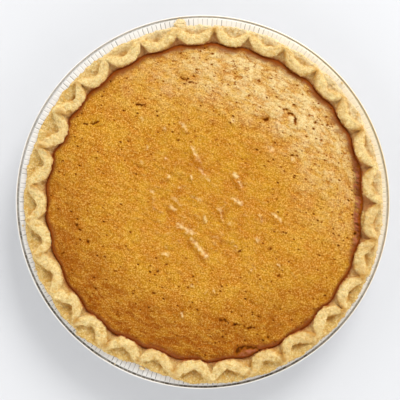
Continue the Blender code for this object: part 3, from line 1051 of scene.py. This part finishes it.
class FillingTop:
    """The filling's shown points, with the noise that both its relief and its colours follow."""

    def __init__(self, points, rim):
        self.flat = points * np.array((1, 1, 0))
        self.radii = np.hypot(points[:, 0], points[:, 1])
        self.angles = np.arctan2(points[:, 1], points[:, 0])
        around = rim.angle % tau
        order = np.argsort(around)
        edge = np.interp(self.angles % tau, around[order], rim.filling_edge()[order])
        self.inwards = edge - self.radii
        self.outer = ramp(self.radii, *OUTER_RADII)
        across_light = turned(self.flat, LIGHT_ANGLE) * np.array((1, 0.45, 1))
        self.lumps = field(across_light, CURD_SIZE, seed=22)
        self.grain = field(across_light, GRAIN_SIZE, seed=23)
        self.wander = field(self.flat, WANDER_SIZE, seed=24)
        self.uneven = np.clip(1 + 1.1 * field(self.flat, BREAK_SIZE, octaves=1, seed=28), 0.25, 2)
        warp = [field(self.flat, WARP_SIZE, octaves=3, seed=seed) for seed in (26, 27)]
        self.ragged = self.flat + WARP_REACH * np.stack([*warp, 0 * self.radii], axis=-1)

    def roughness(self):
        """Relief from humps, lumps, grain and the wrinkles that run round it near the rim."""
        humps = field(self.flat, HUMP_SIZE, seed=21)
        turns = [WRINKLE_TURNS * np.cos(self.angles), WRINKLE_TURNS * np.sin(self.angles)]
        wrinkles = field(np.stack([self.radii / WRINKLE_SIZE, *turns], axis=-1), 1, seed=25)
        even = HUMP_RISE * humps + mix(*CURD_RISE, self.outer) * self.lumps + GRAIN_RISE * self.grain
        return even + WRINKLE_RISE * self.outer * wrinkles

    def streaks(self):
        """The streaks' share of their rise, and how far they face the light, or away from it below 0."""
        strokes = streak_strokes()
        shift = STREAK_SIDE * np.array((cos(LIGHT_ANGLE), sin(LIGHT_ANGLE), 0))
        height = raised(self.ragged, strokes) * np.clip(0.3 + 0.8 * self.uneven, 0, 1.6)
        return height, raised(self.ragged - shift, strokes) - raised(self.ragged + shift, strokes)

    def pits(self):
        """1 in the larger pits, in the cracks and where the blister has torn, 0 elsewhere."""
        pits = 0 * self.radii
        for x, y, width in PITS:
            pits = np.maximum(pits, stroke(self.ragged, ((x, y), (x + 0.01, y)), 0.6 * width))
        for path in CRACKS:
            crack = stroke(self.ragged, path, CRACK_WIDTH * self.uneven)
            pits = np.maximum(pits, crack * np.minimum(1, self.uneven))
        for path, width in ((BLISTER_LIP, 1.0), (BLISTER_HOLE, 1.5)):
            pits = np.maximum(pits, stroke(self.ragged, path, width))
        return pits

    def ledge(self):
        """1 on the ledge where the filling has sunk, 0 elsewhere."""
        sunk = self.inwards + (1.2 * self.wander + 0.7 * self.grain) * MM
        there = ramp(bump(self.angles, LEDGE_ANGLE, LEDGE_WIDTH), 0.1, 0.5)
        return there * ramp(sunk, *LEDGE_INWARDS)

    def baked_rim(self):
        """How brown the filling is towards its rim and how charred at its very edge, both wider towards the
        lamp, where the rope's shadow is painted into them.
        """
        width = mix(*RIM_WIDTHS, ramp(np.cos(self.angles - ROPE_SHADOW_ANGLE), -0.1, 0.95))
        for middle, half_width, extra in RIM_ZONES:
            width = width + extra * MM * bump(self.angles, radians(middle), radians(half_width))
        width = width * (1 + 0.5 * self.wander + 0.35 * self.grain)
        brown_and_shade = 0.92 * ramp(self.inwards, width, 0.25 * width)
        return brown_and_shade, ramp(self.inwards, np.minimum(0.5 * width, CHAR_WIDTH), 0.1 * width)


def filling_surface(top):
    """The filling's relief, and the values that its material shows."""
    relief = top.roughness()
    streaks, sides = top.streaks()
    pits = top.pits()
    crest_highlight = ramp(relief, *CREST_RELIEF)
    # How far the outer filling faces the lamp; the side facing away gets painted shade, less on the crests.
    facing = top.outer * np.cos(top.angles - LIGHT_ANGLE)
    # Painted sheen on the outer filling towards the lamp, strongest on the crests.
    lit_sheen = ramp(top.radii, *SHEEN_RADII) * np.maximum(0, np.cos(top.angles - LAMP_SIDE_ANGLE)) ** 2

    damp = 0.6 * ramp(top.radii, *WET_RADII)
    wet = np.clip(damp + 0.6 * streaks, 0, 1)
    front = bump(top.angles, FRONT_ANGLE, 0.7) * ramp(top.inwards, *GLOSS_INWARDS)
    gloss = np.maximum(np.clip(0.15 * damp + 2 * sides, 0, 0.8), 0.4 * front)
    # Painted highlights: glint specks, and the sides of the streaks that face the lamp.
    glint_specks = ramp(top.grain, 0.25, 0.7) * ramp(top.lumps, -0.1, 0.35)
    lit = sides * top.uneven * np.clip(1.3 + 0.9 * top.grain, 0.5, 1.6) - 0.1
    # Painted shade in the low creases and on the sides of the streaks away from the lamp.
    creases = ramp(-relief, *CREVICE_RELIEF) * ramp(-top.grain, -0.1, 0.4)
    shaded = np.clip(-1.1 * sides - 0.1, 0, 0.8)

    ledge = top.ledge()
    blister = stroke(top.ragged, BLISTER, BLISTER_WIDTH)
    torn = ramp(stroke(top.ragged, BLISTER_LIP, 2.0), 0.15, 0.5)
    brown_and_shade, char_and_shade = top.baked_rim()
    for layer in (0.8 * ramp(blister, 0.1, 0.4), torn):
        brown_and_shade = np.maximum(brown_and_shade, layer)
    bare = np.maximum(ledge * ramp(top.inwards, *BARE_INWARDS), ramp(blister, 0.25, 0.6))
    values = {
        "rim": brown_and_shade,
        "char_and_shade": char_and_shade,
        "blush": bare * np.clip(0.55 + 1.5 * top.grain, 0, 1),
        "cracked": (0.35 + 0.25 * lit_sheen) * ramp(top.radii, *CRACKED_RADII),
        "pits": pits,
        "wet": wet,
        "gloss": gloss,
        "lit_sheen": np.clip((0.01 + 1.2 * lit_sheen) * mix(0.3, 1.0, crest_highlight), 0, 1),
        "painted_highlight": np.clip(np.maximum(lit, 0.4 * wet * glint_specks), 0, 0.8),
        "crevice_shade": np.maximum(creases, shaded),
        "far_side_shade": np.clip(0.15 * top.outer - facing, 0, 1) * mix(0.80, 0.42, crest_highlight),
    }
    relief = relief + ledge * (1.4 * top.grain + 0.9 * top.lumps - 1) * LEDGE_DROP
    relief = relief + blister * (1.0 + 0.5 * top.lumps) * BLISTER_RISE
    return relief + STREAK_RISE * streaks - PIT_DEPTH * pits, values


def make_filling():
    """The filling: hidden rings under it, and over it rings of points raised into its relief."""
    rim = Rim(np.arange(FILLING_COLUMNS) / FILLING_COLUMNS)
    hidden = hidden_filling_rings(rim)
    shown = shown_filling_rings(rim)
    ends = np.cumsum([len(ring) for ring in shown])[:-1]
    points = np.concatenate(shown)
    top = FillingTop(points, rim)
    relief, shown_values = filling_surface(top)
    points[:, 2] += relief * ramp(top.inwards, *RELIEF_INWARDS)
    values = {}
    for key, shown_value in shown_values.items():
        under = np.full(FILLING_COLUMNS, float(key in ("rim", "char_and_shade")))
        values[key] = [under] * len(hidden) + np.split(shown_value, ends)
    return round_body("filling_custard", hidden + np.split(points, ends), values, filling_material())


# -------- crumbs, floor, light and camera


def make_crumbs():
    """Nubs and crumbs of dough on the lip and the flange."""
    bm = bmesh.new()
    for degrees, radius, height, size, length in CRUMBS:
        turn = radians(degrees)
        added = bmesh.ops.create_icosphere(bm, subdivisions=4, radius=size * MM)["verts"]
        middle = Vector((radius * MM * cos(turn), radius * MM * sin(turn), height * MM))
        for vert in added:
            away = vert.co.normalized()
            lumpy = noise.fractal(away * 1.3 + middle * 999, 1.0, 2.0, 5)
            vert.co *= 1 + CRUMB_LUMPS * lumpy
            vert.co.x *= CRUMB_THICKNESS
            vert.co.y *= length
            vert.co.z *= CRUMB_HEIGHT
            vert.co.rotate(Euler((0, 0, turn)))
            vert.co += middle
    mesh = mesh_from(bm, "dough_crumbs", crumb_material())
    mesh.shade_smooth()
    return in_scene("dough_crumbs", mesh)


def make_floor():
    bm = bmesh.new()
    bmesh.ops.create_grid(bm, x_segments=8, y_segments=8, size=FLOOR_HALF)
    floor = in_scene("floor", mesh_from(bm, "floor", floor_material()))


def make_light():
    """A round lamp that faces the pie's middle."""
    light = bpy.data.lights.new("key", "AREA")
    light.shape = "DISK"
    light.size = LIGHT_SIZE
    light.energy = LIGHT_POWER
    lamp = in_scene("key", light)
    flat = LIGHT_DISTANCE * cos(LIGHT_ELEVATION)
    height = LIGHT_DISTANCE * sin(LIGHT_ELEVATION)
    lamp.location = (flat * cos(LIGHT_ANGLE), flat * sin(LIGHT_ANGLE), height)
    lamp.rotation_euler = lamp.location.to_track_quat("Z", "Y").to_euler()


def make_world():
    """Even light from all round, weaker overhead, where the camera is."""
    world = bpy.data.worlds.new("studio")
    world.use_nodes = True
    tree = world.node_tree
    coordinates = tree.nodes.new("ShaderNodeTexCoord")
    parts = tree.nodes.new("ShaderNodeSeparateXYZ")
    strength = tree.nodes.new("ShaderNodeMapRange")
    for end, (height, power) in (("Min", SKY_LOW), ("Max", SKY_HIGH)):
        strength.inputs["From " + end].default_value = height
        strength.inputs["To " + end].default_value = power
    background = tree.nodes["Background"]
    background.inputs["Color"].default_value = SKY_COLOUR
    tree.links.new(coordinates.outputs["Generated"], parts.inputs["Vector"])
    tree.links.new(parts.outputs["Z"], strength.inputs["Value"])
    tree.links.new(strength.outputs["Result"], background.inputs["Strength"])
    bpy.context.scene.world = world


def make_camera():
    camera = bpy.data.cameras.new("camera")
    camera.sensor_width = SENSOR_WIDTH
    camera.lens = SENSOR_WIDTH * (CAMERA_HEIGHT - FLANGE_HEIGHT) / FIELD
    holder = in_scene("camera", camera)
    holder.location = (*CAMERA_PLACE, CAMERA_HEIGHT)
    bpy.context.scene.camera = holder


for piece, node, slot in (
    (make_pan(), "foil_pan", "foil"),
    (make_crust(), "crust", "pastry"),
    (make_filling(), "filling", "filling"),
):
    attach(piece, BODY)
    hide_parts(node)

crumbs = make_crumbs()
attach(crumbs, BODY)

make_floor()
make_world()
make_light()
make_camera()
bpy.context.scene.view_settings.view_transform = "Standard"
